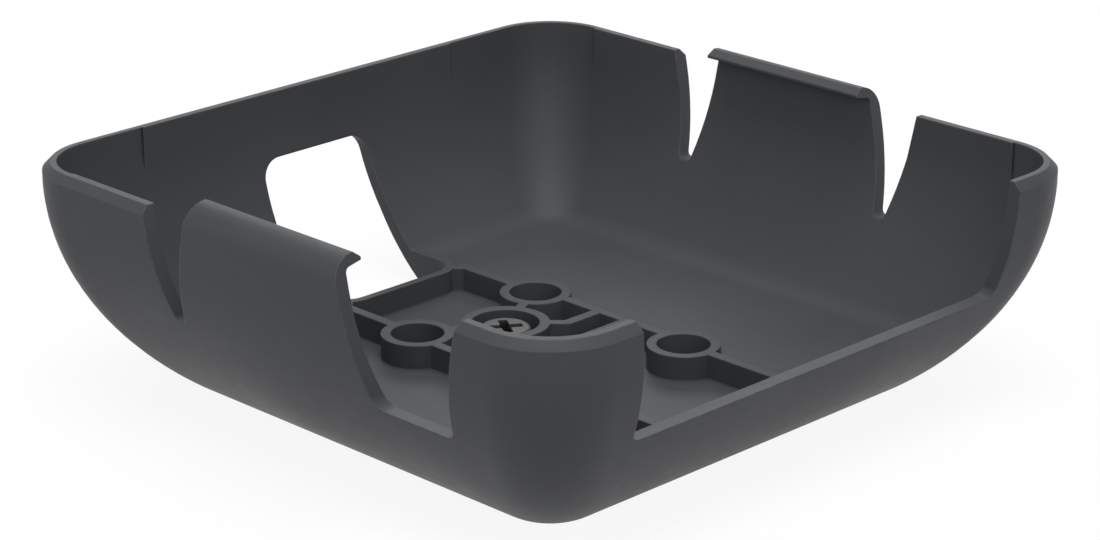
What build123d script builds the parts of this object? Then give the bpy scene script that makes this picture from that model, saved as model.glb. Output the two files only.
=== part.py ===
from build123d import *
from math import radians, sqrt, tan
import os

os.makedirs("parts", exist_ok=True)

# Square open housing with rolled sides. X and Y run along the walls, Z is up.
# The origin is the centre of the flat underside.

# Shell: each side is an arc that rises from the flat underside and turns upright near the rim.
rim_height = 31.2
half_width = 51.1
foot_half_width = 36.2
upright_band = 2.2
wall = 1.95
floor_thickness = 2.0
corner_radius = 11.0
floor_blend = 6.0
rim_chamfer = 1.1

# Flat liner along the inside of the rim. It leaves out three of the corners and the snap tabs.
liner_wall = 2.2
liner_depth = 8.5
liner_end_x = 39.6
liner_end_back = 28.0
liner_end_front = 30.0

# Arc of the sides, from the foot to the lower edge of the upright band.
roll_height = rim_height - upright_band
roll_run = half_width - foot_half_width
roll_radius = (roll_height**2 + roll_run**2) / (2 * roll_run)
roll_centre = half_width - roll_radius

# Raised floor on the +Y side of the rib network.
plateau_height = 4.2
plateau_edge = 12.2
plateau_blend = 5.0

# Snap tabs, one in the middle of each Y wall, with slanted sides.
tab_half_width = 14.4
tab_rise = 2.4
tab_rounding = 3.4
tab_flat = 0.1
tab_nose_bevel = 1.1
tab_nose_bevel_drop = 0.8
tab_nose_depth = 1.2
tab_root = 1.7
tab_root_radius = 0.8
slant = 12.3

# Relief slots beside the tabs.
slot_far_edge = 22.9
slot_depth = 15.4
slot_end_radius = 0.9
left_slot_tab_slant = 11.2

# Wide cut-out beside the front tab.
front_cut_far_edge = 35.5
front_cut_depth = 16.9
front_cut_tab_radius = 2.0
front_cut_post_radius = 1.8

# Wide cut-out in the +X wall.
side_cut_half_width = 35.8
side_cut_depth = 16.3
side_cut_slant = 4.5
side_cut_radius = 1.5

# Cable window in the -X wall. It widens downwards and runs on through the edge of the floor.
window_centre = 0.3
window_half_width = 9.7
window_top = 21.6
window_radius = 3.1
window_flare = 3.0
window_inner = 29.95
notch_half_width = 10.6
notch_radius = 3.2

# Rib network on the floor.
rib_top = 5.4
rib_width = 1.5
link_width = 1.4
boss_x = 14.25
boss_y = 11.35
boss_outer = 10.1
boss_bore = 7.4
boss_hole = 4.0
outer_run_y = 11.45
middle_run_y = 12.45
cross_x = 2.65
bend_y = 6.1
notch_rib_width = 1.1
pocket_bevel_x = 28.3
rib_reach = 40.0

# Centre boss and its screw.
centre_x = -8.7
centre_outer = 12.4
centre_bore = 9.5
screw_head = 7.2
screw_head_height = 2.8
screw_head_rounding = 0.6
screw_shank = 3.5
screw_hole_clearance = 0.2
recess_across = 4.8
recess_width = 1.3
recess_depth = 2.4
recess_angle = 57.0

# Tool lengths for cuts through the walls.
cut_start = 25.0
reach = 70.0


def roll_half_width(height, inset):
    radius = roll_radius - inset
    if height >= roll_height:
        return roll_centre + radius
    return roll_centre + sqrt(radius**2 - (roll_height - height) ** 2)


def rolled_box(inset, bottom, top, corner):
    """Block with the rolled side profile on all four sides and rounded corners."""
    foot = roll_half_width(bottom, inset)
    middle = (bottom + roll_height) / 2
    knee = roll_half_width(middle, inset)
    side = roll_half_width(roll_height, inset)
    sides = Line((side, roll_height), (side, top)) + Line((-side, top), (-side, roll_height))
    ends = Line((side, top), (-side, top)) + Line((-foot, bottom), (foot, bottom))
    right_roll = ThreePointArc((foot, bottom), (knee, middle), (side, roll_height))
    left_roll = ThreePointArc((-side, roll_height), (-knee, middle), (-foot, bottom))
    section = make_face((sides + ends + right_roll + left_roll).edges())
    run = extrude(Plane.XZ * section, amount=reach, both=True)
    block = run & run.rotate(Axis.Z, 90)
    mitres = [e for e in block.edges() if abs(abs((e @ 0.5).X) - abs((e @ 0.5).Y)) < 0.01]
    return fillet(mitres, corner)


def outline(points, radii):
    """Closed outline through the points, with a rounding radius for each of them."""
    shape = make_face(Polyline(*points, close=True).edges())
    for radius in sorted({r for r in radii if r > 0}):
        rounded = [point for point, r in zip(points, radii) if r == radius]
        corners = [v for v in shape.vertices() if min(abs(v.X - x) + abs(v.Y - z) for x, z in rounded) < 0.001]
        shape = fillet(corners, radius)
    return shape


def wall_cutter(plane, left, right, depth, left_slope, right_slope, left_radius, right_radius):
    """Cutter for an opening that starts at the rim. Edge positions are given at rim height."""
    above = 6.0
    top = rim_height + above
    bottom = rim_height - depth
    points = [
        (left - above * left_slope, top),
        (right + above * right_slope, top),
        (right - depth * right_slope, bottom),
        (left + depth * left_slope, bottom),
    ]
    shape = outline(points, [0, 0, right_radius, left_radius])
    return extrude(plane.offset(cut_start) * shape, amount=reach - cut_start)


def bar(start, end, width):
    """Upright rib between two points in plan."""
    x1, y1 = start
    x2, y2 = end
    run = Plane(origin=((x1 + x2) / 2, (y1 + y2) / 2, 0), x_dir=(x2 - x1, y2 - y1, 0), z_dir=(0, 0, 1))
    length = sqrt((x2 - x1) ** 2 + (y2 - y1) ** 2)
    return extrude(run * Rectangle(length, width), amount=rib_top)


def notch(growth, bottom, top):
    """Block that fills the rounded notch under the cable window, grown by a margin."""
    inner = growth - window_inner
    width = notch_half_width + growth
    points = [(-reach, -width), (-reach, width), (inner, width), (inner, -width)]
    radius = notch_radius + growth
    return extrude(Pos(0, 0, bottom) * outline(points, [0, 0, radius, radius]), amount=top - bottom)


def liner():
    """Square frame that keeps the inside of the rim flat, except at three corners and at the tabs."""
    size = 2 * (half_width - liner_wall)
    frame = Rectangle(reach * 2, reach * 2) - RectangleRounded(size, size, corner_radius - liner_wall)
    frame -= Rectangle(tab_half_width + slot_far_edge, reach * 2)
    for side in (-1, 1):
        frame -= Pos(side * (liner_end_x + reach), liner_end_back + reach) * Rectangle(reach * 2, reach * 2)
    frame -= Pos(-liner_end_x - reach, -liner_end_front - reach) * Rectangle(reach * 2, reach * 2)
    return extrude(Pos(0, 0, rim_height - liner_depth) * frame, amount=liner_depth + 10)


def round_bar(x, y, diameter, bottom, top):
    return Pos(x, y, bottom) * Cylinder(diameter / 2, top - bottom, align=(Align.CENTER, Align.CENTER, Align.MIN))


# Shell. The +Y part of the floor is higher than the rest.
outer = rolled_box(0, 0, rim_height, corner_radius)
cavity = rolled_box(wall, plateau_height, rim_height + 5, corner_radius - wall)
cavity = fillet(cavity.faces().sort_by(Axis.Z)[0].edges(), plateau_blend)
low_cavity = rolled_box(wall, floor_thickness, rim_height + 5, corner_radius - wall)
low_cavity = fillet(low_cavity.faces().sort_by(Axis.Z)[0].edges(), floor_blend)
low_cavity = split(low_cavity, bisect_by=Plane.XZ.offset(-plateau_edge), keep=Keep.TOP)
shell = chamfer(outer.faces().sort_by(Axis.Z)[-1].edges(), rim_chamfer) - (cavity + low_cavity - liner())

# Snap tabs: rounded outside, flat top, and a hooked nose that points inward.
tab_top = rim_height + tab_rise
inner_face = half_width - wall
nose = half_width - tab_rounding - tab_flat - tab_nose_bevel
tab_points = [
    (inner_face, roll_height),
    (half_width, roll_height),
    (half_width, tab_top),
    (nose + tab_nose_bevel, tab_top),
    (nose, tab_top - tab_nose_bevel_drop),
    (nose, tab_top - tab_nose_depth),
    (inner_face, tab_top - tab_root),
]
tab_section = outline(tab_points, [0, 0, tab_rounding, 0, 0, 0, tab_root_radius])
tab = extrude(Plane.YZ * tab_section, amount=tab_half_width + 2, both=True)
housing = shell + tab + tab.rotate(Axis.Z, 180)

# Relief slots and wide cut-outs. The slanted edges also trim the ends of the tabs.
slope = tan(radians(slant))
left_slope = tan(radians(left_slot_tab_slant))
side_slope = tan(radians(side_cut_slant))
front = Plane.XZ
back = Plane(origin=(0, 0, 0), x_dir=(-1, 0, 0), z_dir=(0, 1, 0))
tab_edge = tab_half_width
slot_edge = slot_far_edge
end = slot_end_radius
front_slot = wall_cutter(front, -slot_edge, -tab_edge, slot_depth, slope, slope, end, end)
back_slot_1 = wall_cutter(back, -slot_edge, -tab_edge, slot_depth, slope, slope, end, end)
back_slot_2 = wall_cutter(back, tab_edge, slot_edge, slot_depth, left_slope, slope, end, end)
front_cut = wall_cutter(
    front, tab_edge, front_cut_far_edge, front_cut_depth, slope, slope, front_cut_tab_radius, front_cut_post_radius
)
side_cut = wall_cutter(
    Plane.YZ,
    -side_cut_half_width,
    side_cut_half_width,
    side_cut_depth,
    side_slope,
    side_slope,
    side_cut_radius,
    side_cut_radius,
)
housing = housing - front_slot - back_slot_1 - back_slot_2 - front_cut - side_cut

# Rib network. A thin rib follows the notch under the window, with a bevel at each pocket corner.
run_1 = outer_run_y
run_2 = middle_run_y
network = bar((-window_inner, run_1), (-boss_x, run_1), rib_width)
network += bar((-window_inner, -run_1), (-boss_x, -run_1), rib_width)
network += bar((-boss_x, run_2), (boss_x, run_2), rib_width)
network += bar((-boss_x, -run_2), (boss_x, -run_2), rib_width)
network += bar((boss_x, run_1), (rib_reach, run_1), rib_width)
network += bar((boss_x, -run_1), (rib_reach, -run_1), rib_width)
network += bar((cross_x, -run_2), (cross_x, run_2), rib_width)
for side in (-1, 1):
    network += bar((-cross_x, side * bend_y), (-cross_x, side * run_2), rib_width)
    network += bar((centre_x, side * (bend_y + centre_x + cross_x)), (-cross_x, side * bend_y), link_width)
    network += bar((centre_x, 0), (-boss_x, side * boss_y), link_width)
    for boss in (-1, 1):
        network += round_bar(boss * boss_x, side * boss_y, boss_outer, 0, rib_top)
network += round_bar(centre_x, 0, centre_outer, 0, rib_top)
inner_y = outer_run_y - rib_width / 2
outer_y = outer_run_y + rib_width / 2
notch_rib_x = window_inner
for side in (-1, 1):
    bevel_points = [
        (-pocket_bevel_x, side * inner_y),
        (-pocket_bevel_x, side * outer_y),
        (-notch_rib_x, side * outer_y),
        (-notch_rib_x, side * (inner_y + pocket_bevel_x - notch_rib_x)),
    ]
    network += extrude(make_face(Polyline(*bevel_points, close=True).edges()), amount=rib_top)
network += notch(notch_rib_width, 0, rib_top)
housing += network & outer

# Cable window. Its sides flare downwards, and the notch in the floor has rounded corners.
flare = tan(radians(window_flare))
window_foot = window_half_width + flare * (window_top + 1)
window_points = [
    (window_centre - window_half_width, window_top),
    (window_centre + window_half_width, window_top),
    (window_centre + window_foot, -1),
    (window_centre - window_foot, -1),
]
window_shape = outline(window_points, [window_radius, window_radius, 0, 0])
window = extrude(Plane.YZ.offset(-reach) * window_shape, amount=reach)
housing -= window & notch(0, -1, rim_height)

# Boss bores, with a screw hole through the floor under each one
for x in (-boss_x, boss_x):
    for y in (-boss_y, boss_y):
        housing -= round_bar(x, y, boss_bore, floor_thickness, rib_top + 1)
        housing -= round_bar(x, y, boss_hole, -1, floor_thickness + 1)
housing -= round_bar(centre_x, 0, centre_bore, floor_thickness, rib_top + 1)
housing -= round_bar(centre_x, 0, screw_shank + screw_hole_clearance, -1, floor_thickness + 1)
housing.label = "housing"

# Screw: domed head with a cross recess
head_top = floor_thickness + screw_head_height
head = round_bar(centre_x, 0, screw_head, floor_thickness, head_top)
head = fillet(head.faces().sort_by(Axis.Z)[-1].edges(), screw_head_rounding)
screw = head + round_bar(centre_x, 0, screw_shank, 0, floor_thickness + 1)
for angle in (recess_angle, recess_angle + 90):
    wing = Box(recess_across, recess_width, recess_depth, align=(Align.CENTER, Align.CENTER, Align.MAX))
    screw -= Pos(centre_x, 0, head_top) * Rot(0, 0, angle) * wing
screw.label = "fixing_screw"

export_step(housing, "parts/housing.step")
export_step(screw, "parts/fixing_screw.step")
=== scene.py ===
import math

import bmesh
import bpy
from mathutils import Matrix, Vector


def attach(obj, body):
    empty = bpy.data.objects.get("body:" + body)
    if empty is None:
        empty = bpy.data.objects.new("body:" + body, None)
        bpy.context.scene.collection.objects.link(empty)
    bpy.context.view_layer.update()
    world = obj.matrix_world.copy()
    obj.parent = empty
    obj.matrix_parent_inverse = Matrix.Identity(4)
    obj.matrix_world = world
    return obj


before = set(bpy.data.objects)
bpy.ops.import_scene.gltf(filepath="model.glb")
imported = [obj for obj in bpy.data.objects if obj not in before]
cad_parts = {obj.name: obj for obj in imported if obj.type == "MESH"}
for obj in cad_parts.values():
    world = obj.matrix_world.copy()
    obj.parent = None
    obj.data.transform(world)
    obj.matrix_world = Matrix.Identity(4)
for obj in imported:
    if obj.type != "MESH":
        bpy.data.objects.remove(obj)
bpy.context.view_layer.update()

MM = 0.001
WHITE = (1.0, 1.0, 1.0)

# ---------------------------------------------------------------- camera
CAMERA_AT = (297.76 * MM, -297.76 * MM, 169.96 * MM)
CAMERA_TARGET = (0.0, 0.0, 15.28 * MM)
CAMERA_LENS = 108.75
CAMERA_SENSOR = 36.0
CAMERA_NEAR = 0.01
CAMERA_FAR = 20.0

# ---------------------------------------------------------------- light
# Brightness of the studio around the object, by elevation in degrees
SKY = ((0, 0.66), (12, 0.66), (32, 0.03), (58, 0.31), (90, 0.31))

# Softboxes: name, azimuth and elevation in degrees, power in watts, width and height in metres
LAMP_DISTANCE = 1.2
SOFTBOXES = (
    ("overhead", 0.0, 90.0, 8.3, 0.77, 0.77),
    ("right", 0.0, 33.0, 1.3, 1.0, 0.55),
    ("left", -120.0, 15.0, 1.2, 1.0, 0.5),
    ("behind", 135.0, 33.0, 4.3, 1.0, 0.55),
    ("front", -45.0, 33.0, 3.45, 1.0, 0.55),
)

# Floor: white to the eye, and a darker grey in the light that it throws back on the object
FLOOR_SIZE = 8.0
FLOOR_GREY = 0.22
FLOOR_WHITE_SHARE = 0.90

# ---------------------------------------------------------------- edges and creases
# Cosine between the rounded and the true normal, where an edge is full and where it fades out
EDGE_FULL = 0.80
EDGE_NONE = 0.985
EDGE_SAMPLES = 6

# Share of the space around a point that is open, where a crease is full and where it fades out
CREASE_FULL = 0.72
CREASE_NONE = 0.95
CREASE_SAMPLES = 6

# Middle band of a noise that is stretched to the whole range
NOISE_LOW = 0.35
NOISE_HIGH = 0.65

# ---------------------------------------------------------------- moulded plastic
PLASTIC = (0.0710, 0.0735, 0.0795)
PLASTIC_LIGHT = (0.0825, 0.0850, 0.0915)
# Edge colour: partly rubbed wear, partly a painted highlight on sills, rims and edges
PLASTIC_WEAR_AND_HIGHLIGHT = (0.215, 0.218, 0.227)
# Painted shade for inward creases near the rim
PLASTIC_CREASE_SHADE = (0.036, 0.037, 0.040)
PLASTIC_SMOOTHEST = 0.47
PLASTIC_ROUGHEST = 0.55
PLASTIC_IOR = 1.5
PLASTIC_SPECULAR = 0.175
PLASTIC_EDGE_RADIUS = 0.30 * MM
PLASTIC_CREASE_REACH = 0.5 * MM
FLOW_SCALE = 38.0
FLOW_SHARE = 0.55
SCUFF_SCALE = 420.0
SCUFF_LOW = 0.45
SCUFF_HIGH = 0.75
SCUFF_POLISH = 0.05
# Share of the edge colour (wear and painted highlight), from least to most
LEAST_WEAR_AND_HIGHLIGHT = 0.35
MOST_WEAR_AND_HIGHLIGHT = 0.8
PLASTIC_GRAIN_SCALE = 5200.0
PLASTIC_GRAIN_DEPTH = 0.015 * MM
PLASTIC_GRAIN_STRENGTH = 0.35

# ---------------------------------------------------------------- coated steel
SCREW_DARK = (0.088, 0.089, 0.092)
SCREW_LIGHT = (0.120, 0.121, 0.125)
SCREW_EDGE = (0.22, 0.22, 0.23)
SCREW_SMOOTHEST = 0.38
SCREW_ROUGHEST = 0.48
SCREW_METALLIC = 0.2
SCREW_SPECULAR = 0.3
SCREW_EDGE_RADIUS = 0.12 * MM
SCREW_EDGE_SHARE = 0.5
MOTTLE_SCALE = 900.0
SCREW_GRAIN_SCALE = 6500.0
SCREW_GRAIN_DEPTH = 0.010 * MM
SCREW_GRAIN_STRENGTH = 0.3
# Painted shade inside the screw's cross recess
RECESS_SHADE = (0.030, 0.030, 0.031)
RECESS_REACH = 2.5 * MM
RECESS_FADE_TOP = 0.1 * MM
RECESS_FADE_BOTTOM = 0.6 * MM

# ---------------------------------------------------------------- shapes of the housing and screw
# Rolled walls: the height at which they turn upright, and the radius of their arc
ROLL_TOP = 29.0 * MM
ROLL_RADIUS = 33.72 * MM

# Flat liner along the inside of the rim, and how far a face may lean and still count as upright
LINER_BOTTOM = 22.6 * MM
UPRIGHT_LEAN = 0.02

# Ribs: the point where two centre lines meet in a bend, and the half widths of the two ribs.
# The foot of the corner piece stands a little way down in the floor.
BEND_X = -2.65 * MM
BEND_Y = 6.1 * MM
RIB_HALF_WIDTH = 0.75 * MM
LINK_HALF_WIDTH = 0.7 * MM
RIB_FOOT = 1.9 * MM
RIB_TOP = 5.4 * MM

# Upright faces around the outer corner of a bend, below the upper edge of the rib
CORNER_X = -2.05 * MM
CORNER_Y = 5.85 * MM
CORNER_REACH = 0.75 * MM
CORNER_TOP = RIB_TOP - 0.3 * MM

SCREW_X = -8.7 * MM
SCREW_TOP = 4.8 * MM


class Graph:
    """A node tree of one material, with short calls for adding and joining nodes."""

    def __init__(self, name):
        self.material = bpy.data.materials.new(name)
        self.material.use_nodes = True
        self.tree = self.material.node_tree
        self.shader = self.tree.nodes["Principled BSDF"]
        self.output = self.tree.nodes["Material Output"]
        self.coords = self.add("ShaderNodeTexCoord").outputs["Object"]

    def add(self, kind, **values):
        """New node, with its settings or the values of its sockets."""
        node = self.tree.nodes.new(kind)
        for key, value in values.items():
            if hasattr(node, key):
                setattr(node, key, value)
            else:
                node.inputs[key].default_value = value
        return node

    def join(self, source, target):
        self.tree.links.new(source, target)

    def shade(self, name, value):
        """Gives one of the shader's own sockets a plain number, or joins a node's output to it."""
        socket = self.shader.inputs[name]
        if isinstance(value, float):
            socket.default_value = value
        else:
            self.join(value, socket)

    def noise(self, scale, detail, rough):
        node = self.add("ShaderNodeTexNoise", Scale=scale, Detail=detail, Roughness=rough)
        self.join(self.coords, node.inputs["Vector"])
        return node.outputs["Fac"]

    def spread(self, value, low, high, new_low=0.0, new_high=1.0):
        """Maps the range from low to high onto a new range, and holds its ends."""
        node = self.add("ShaderNodeMapRange")
        self.join(value, node.inputs["Value"])
        ends = {"From Min": low, "From Max": high, "To Min": new_low, "To Max": new_high}
        for name, number in ends.items():
            node.inputs[name].default_value = number
        return node.outputs["Result"]

    def blend(self, factor, first, second):
        """Mix of two colours, each of them a tuple or a socket."""
        node = self.add("ShaderNodeMix", data_type="RGBA")
        colours = [s for s in node.inputs if s.type == "RGBA"]
        for socket, colour in zip(colours, (first, second)):
            if isinstance(colour, tuple):
                socket.default_value = (*colour, 1.0)
            else:
                self.join(colour, socket)
        self.join(factor, node.inputs["Factor"])
        return next(s for s in node.outputs if s.type == "RGBA")

    def maths(self, operation, first, second=0.0):
        """One step of arithmetic on two values, each of them a number or a socket."""
        node = self.add("ShaderNodeMath", operation=operation)
        for socket, value in zip(node.inputs, (first, second)):
            if isinstance(value, (int, float)):
                socket.default_value = value
            else:
                self.join(value, socket)
        return node.outputs["Value"]

    def split(self, vector):
        """The X, Y and Z of a vector."""
        node = self.add("ShaderNodeSeparateXYZ")
        self.join(vector, node.inputs["Vector"])
        return node.outputs

    def square(self, first, second):
        """Sum of the squares of two values."""
        squares = [self.maths("MULTIPLY", value, value) for value in (first, second)]
        return self.maths("ADD", *squares)

    def edge_mask(self, radius):
        """1 on sharp edges and 0 elsewhere, and the normal rounded over those edges."""
        bevel = self.add("ShaderNodeBevel", samples=EDGE_SAMPLES, Radius=radius)
        geometry = self.add("ShaderNodeNewGeometry")
        dot = self.add("ShaderNodeVectorMath", operation="DOT_PRODUCT")
        self.join(bevel.outputs["Normal"], dot.inputs[0])
        self.join(geometry.outputs["Normal"], dot.inputs[1])
        return self.spread(dot.outputs["Value"], EDGE_NONE, EDGE_FULL), bevel.outputs["Normal"]

    def crease_mask(self, reach):
        """1 in inward corners and 0 on open faces and outward edges."""
        space = self.add("ShaderNodeAmbientOcclusion", only_local=True, Distance=reach)
        space.samples = CREASE_SAMPLES
        return self.spread(space.outputs["AO"], CREASE_NONE, CREASE_FULL)

    def corner_mask(self):
        """1 on the upright faces around the outer corner of each rib bend, where two pieces meet."""
        place = self.split(self.coords)
        aside = self.maths("SUBTRACT", place["X"], CORNER_X)
        along = self.maths("SUBTRACT", self.maths("ABSOLUTE", place["Y"]), CORNER_Y)
        near = self.maths("LESS_THAN", self.square(aside, along), CORNER_REACH**2)
        return self.maths("MULTIPLY", near, self.maths("LESS_THAN", place["Z"], CORNER_TOP))

    def level(self, mask, normal):
        """Puts the true normal back where the mask is 1."""
        node = self.add("ShaderNodeMix", data_type="VECTOR")
        first, second = [s for s in node.inputs if s.type == "VECTOR"][-2:]
        self.join(normal, first)
        self.join(self.add("ShaderNodeNewGeometry").outputs["Normal"], second)
        self.join(mask, node.inputs["Factor"])
        return next(s for s in node.outputs if s.type == "VECTOR")

    def liner_normal(self, normal):
        """Leans the flat liner's normal as the rolled wall below it does, so that the two blend."""
        place = self.split(self.coords)
        face = self.split(self.add("ShaderNodeTexCoord").outputs["Normal"])
        across = self.maths("MULTIPLY", place["X"], face["X"])
        along = self.maths("MULTIPLY", place["Y"], face["Y"])
        inward = self.maths("LESS_THAN", self.maths("ADD", across, along), 0.0)
        upright = self.maths("LESS_THAN", self.maths("ABSOLUTE", face["Z"]), UPRIGHT_LEAN)
        above = self.maths("GREATER_THAN", place["Z"], LINER_BOTTOM)
        mask = self.maths("MULTIPLY", inward, self.maths("MULTIPLY", upright, above))
        steepest = (ROLL_TOP - LINER_BOTTOM) / ROLL_RADIUS
        lean = self.spread(place["Z"], ROLL_TOP, LINER_BOTTOM, 0.0, steepest)
        up = self.add("ShaderNodeCombineXYZ")
        self.join(self.maths("MULTIPLY", lean, mask), up.inputs["Z"])
        total = self.add("ShaderNodeVectorMath", operation="ADD")
        self.join(normal, total.inputs[0])
        self.join(up.outputs["Vector"], total.inputs[1])
        unit = self.add("ShaderNodeVectorMath", operation="NORMALIZE")
        self.join(total.outputs["Vector"], unit.inputs[0])
        return unit.outputs["Vector"]

    def bump(self, height, distance, strength, normal):
        node = self.add("ShaderNodeBump", Distance=distance, Strength=strength)
        self.join(height, node.inputs["Height"])
        self.join(normal, node.inputs["Normal"])
        return node.outputs["Normal"]


def moulded_plastic():
    """Dark grey plastic with a fine moulded grain, faint flow variation, edges lightened partly as slight
    wear and partly as a painted highlight, and painted shade in creases near the rim.
    """
    g = Graph("moulded_plastic")
    edge, rounded = g.edge_mask(PLASTIC_EDGE_RADIUS)
    flow = g.spread(g.noise(FLOW_SCALE, detail=4.0, rough=0.5), NOISE_LOW, NOISE_HIGH)
    grain = g.noise(PLASTIC_GRAIN_SCALE, detail=2.0, rough=0.6)
    scuff = g.spread(g.noise(SCUFF_SCALE, detail=5.0, rough=0.7), SCUFF_LOW, SCUFF_HIGH)
    body = g.blend(g.maths("MULTIPLY", flow, FLOW_SHARE), PLASTIC, PLASTIC_LIGHT)

    # Outward edges are lightened, partly as rubbed wear and partly as a painted highlight, but inward
    # corners and the joins at the rib bends aren't
    crease = g.crease_mask(PLASTIC_CREASE_REACH)
    corner = g.corner_mask()
    kept_plain = g.maths("MAXIMUM", crease, corner)
    outward = g.maths("MULTIPLY", edge, g.maths("SUBTRACT", 1.0, kept_plain))
    wear_and_highlight_share = g.maths("MULTIPLY", outward, g.spread(scuff, 0.0, 1.0, LEAST_WEAR_AND_HIGHLIGHT, MOST_WEAR_AND_HIGHLIGHT))
    wear_and_highlight_colour = g.blend(wear_and_highlight_share, body, PLASTIC_WEAR_AND_HIGHLIGHT)

    # Near the rim, creases are darkened with painted shade, so that the small steps at the liner's ends
    # show
    rim_shade_band = g.maths("GREATER_THAN", g.split(g.coords)["Z"], LINER_BOTTOM)
    g.shade("Base Color", g.blend(g.maths("MULTIPLY", crease, rim_shade_band), wear_and_highlight_colour, PLASTIC_CREASE_SHADE))

    rough = g.spread(flow, 0.0, 1.0, PLASTIC_SMOOTHEST, PLASTIC_ROUGHEST)
    g.shade("Roughness", g.maths("SUBTRACT", rough, g.maths("MULTIPLY", scuff, SCUFF_POLISH)))
    normal = g.level(corner, g.liner_normal(rounded))
    g.shade("Normal", g.bump(grain, PLASTIC_GRAIN_DEPTH, PLASTIC_GRAIN_STRENGTH, normal))
    g.shade("IOR", PLASTIC_IOR)
    g.shade("Specular IOR Level", PLASTIC_SPECULAR)
    return g.material


def coated_steel():
    """Satin grey coating on steel, with a fine mottle, a little polish at the edges and painted shade
    darkening the recess.
    """
    g = Graph("coated_steel")
    edge, rounded = g.edge_mask(SCREW_EDGE_RADIUS)
    mottle = g.spread(g.noise(MOTTLE_SCALE, detail=4.0, rough=0.6), NOISE_LOW, NOISE_HIGH)
    grain = g.noise(SCREW_GRAIN_SCALE, detail=2.0, rough=0.6)
    body = g.blend(mottle, SCREW_DARK, SCREW_LIGHT)
    coat = g.blend(g.maths("MULTIPLY", edge, SCREW_EDGE_SHARE), body, SCREW_EDGE)

    # The recess is painted darker with depth as shade, within its reach of the screw's axis
    place = g.split(g.coords)
    aside = g.maths("SUBTRACT", place["X"], SCREW_X)
    inside = g.maths("LESS_THAN", g.square(aside, place["Y"]), RECESS_REACH**2)
    shade_depth = g.spread(place["Z"], SCREW_TOP - RECESS_FADE_TOP, SCREW_TOP - RECESS_FADE_BOTTOM)
    g.shade("Base Color", g.blend(g.maths("MULTIPLY", inside, shade_depth), coat, RECESS_SHADE))

    g.shade("Roughness", g.spread(mottle, 0.0, 1.0, SCREW_SMOOTHEST, SCREW_ROUGHEST))
    g.shade("Normal", g.bump(grain, SCREW_GRAIN_DEPTH, SCREW_GRAIN_STRENGTH, rounded))
    g.shade("Metallic", SCREW_METALLIC)
    g.shade("Specular IOR Level", SCREW_SPECULAR)
    return g.material


def dress(node, material):
    """Gives a CAD node its material."""
    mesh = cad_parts[node].data
    mesh.materials.clear()
    mesh.materials.append(material)
    for face in mesh.polygons:
        face.material_index = 0


plastic = moulded_plastic()
dress("housing", plastic)
dress("fixing_screw", coated_steel())


# ---------------------------------------------------------------- rib corners
def rib_corner(name, side):
    """Wedge that closes the outer corner of the bend in a rib, on the +Y side (1) or the -Y side (-1)."""
    rib_side = BEND_X + RIB_HALF_WIDTH
    corner = (rib_side, BEND_Y + RIB_HALF_WIDTH - LINK_HALF_WIDTH * math.sqrt(2))
    shift = LINK_HALF_WIDTH / math.sqrt(2)
    plan = ((BEND_X, BEND_Y), (rib_side, BEND_Y), corner, (BEND_X + shift, BEND_Y - shift))
    count = len(plan)
    points = [(x, side * y, z) for z in (RIB_FOOT, RIB_TOP) for x, y in plan]
    faces = [tuple(range(count)), tuple(range(count, 2 * count))]
    faces += [(k, (k + 1) % count, count + (k + 1) % count, count + k) for k in range(count)]
    mesh = bpy.data.meshes.new(name)
    mesh.from_pydata(points, [], faces)
    shape = bmesh.new()
    shape.from_mesh(mesh)
    bmesh.ops.recalc_face_normals(shape, faces=shape.faces)
    shape.to_mesh(mesh)
    shape.free()
    mesh.materials.append(plastic)
    wedge = bpy.data.objects.new(name, mesh)
    bpy.context.scene.collection.objects.link(wedge)
    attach(wedge, "root")


rib_corner("rib_corner_back", 1)
rib_corner("rib_corner_front", -1)


# ---------------------------------------------------------------- floor
def pale_floor():
    """White as the background, with the object's shadow, and grey in the light that it returns."""
    g = Graph("floor_white")
    g.tree.nodes.remove(g.shader)
    seen = g.add("ShaderNodeLightPath").outputs
    direct = g.maths("MAXIMUM", seen["Is Camera Ray"], seen["Is Glossy Ray"])
    direct = g.maths("MAXIMUM", direct, seen["Is Transmission Ray"])
    diffuse = g.add("ShaderNodeBsdfDiffuse")
    g.join(g.blend(direct, (FLOOR_GREY,) * 3, WHITE), diffuse.inputs["Color"])
    glow = g.add("ShaderNodeEmission", Color=(*WHITE, 1.0), Strength=1.0)
    mix = g.add("ShaderNodeMixShader")
    g.join(g.maths("MULTIPLY", direct, FLOOR_WHITE_SHARE), mix.inputs["Fac"])
    g.join(diffuse.outputs["BSDF"], mix.inputs[1])
    g.join(glow.outputs["Emission"], mix.inputs[2])
    g.join(mix.outputs["Shader"], g.output.inputs["Surface"])
    return g.material


bpy.ops.mesh.primitive_plane_add(size=FLOOR_SIZE, location=(0.0, 0.0, 0.0))
floor = bpy.context.object
floor.name = "floor"
floor.data.materials.append(pale_floor())


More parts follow.
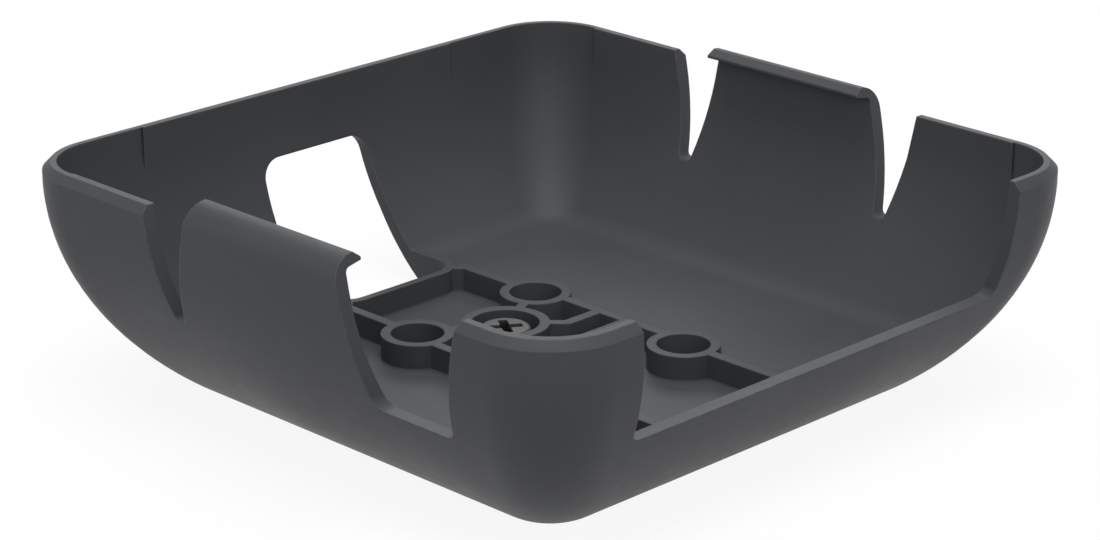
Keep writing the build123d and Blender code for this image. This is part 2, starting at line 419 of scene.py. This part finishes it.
# ---------------------------------------------------------------- studio
def studio():
    """World whose brightness depends only on the height above the horizon."""
    world = bpy.data.worlds.new("studio")
    world.use_nodes = True
    tree = world.node_tree
    direction = tree.nodes.new("ShaderNodeTexCoord").outputs["Generated"]
    height = tree.nodes.new("ShaderNodeSeparateXYZ")
    tree.links.new(direction, height.inputs["Vector"])
    ramp = tree.nodes.new("ShaderNodeValToRGB")
    tree.links.new(height.outputs["Z"], ramp.inputs["Fac"])
    stops = ramp.color_ramp.elements
    while len(stops) < len(SKY):
        stops.new(0.5)
    for stop, (elevation, level) in zip(stops, SKY):
        stop.position = math.sin(math.radians(elevation))
        stop.color = (level, level, level, 1.0)
    background = tree.nodes["Background"]
    tree.links.new(ramp.outputs["Color"], background.inputs["Color"])
    background.inputs["Strength"].default_value = 1.0
    return world


def aim(item, place, target):
    """Puts a lamp or camera at a place and turns it to a target."""
    item.location = place
    item.rotation_mode = "QUATERNION"
    item.rotation_quaternion = (Vector(target) - Vector(place)).to_track_quat("-Z", "Y")


def softbox(name, azimuth, elevation, power, width, height):
    """Soft rectangular lamp that points at the object from a direction in degrees."""
    data = bpy.data.lights.new(name, "AREA")
    data.shape = "RECTANGLE"
    data.size = width
    data.size_y = height
    data.energy = power
    lamp = bpy.data.objects.new(name, data)
    bpy.context.scene.collection.objects.link(lamp)
    turn = math.radians(azimuth)
    tilt = math.radians(elevation)
    flat = LAMP_DISTANCE * math.cos(tilt)
    place = (flat * math.cos(turn), flat * math.sin(turn), LAMP_DISTANCE * math.sin(tilt))
    aim(lamp, place, (0.0, 0.0, 0.0))
    lamp.visible_camera = False


bpy.context.scene.world = studio()
for settings in SOFTBOXES:
    softbox(*settings)

# ---------------------------------------------------------------- view
camera_data = bpy.data.cameras.new("camera")
camera_data.sensor_width = CAMERA_SENSOR
camera_data.lens = CAMERA_LENS
camera_data.clip_start = CAMERA_NEAR
camera_data.clip_end = CAMERA_FAR
camera = bpy.data.objects.new("camera", camera_data)
bpy.context.scene.collection.objects.link(camera)
aim(camera, CAMERA_AT, CAMERA_TARGET)
bpy.context.scene.camera = camera
bpy.context.scene.view_settings.view_transform = "Standard"
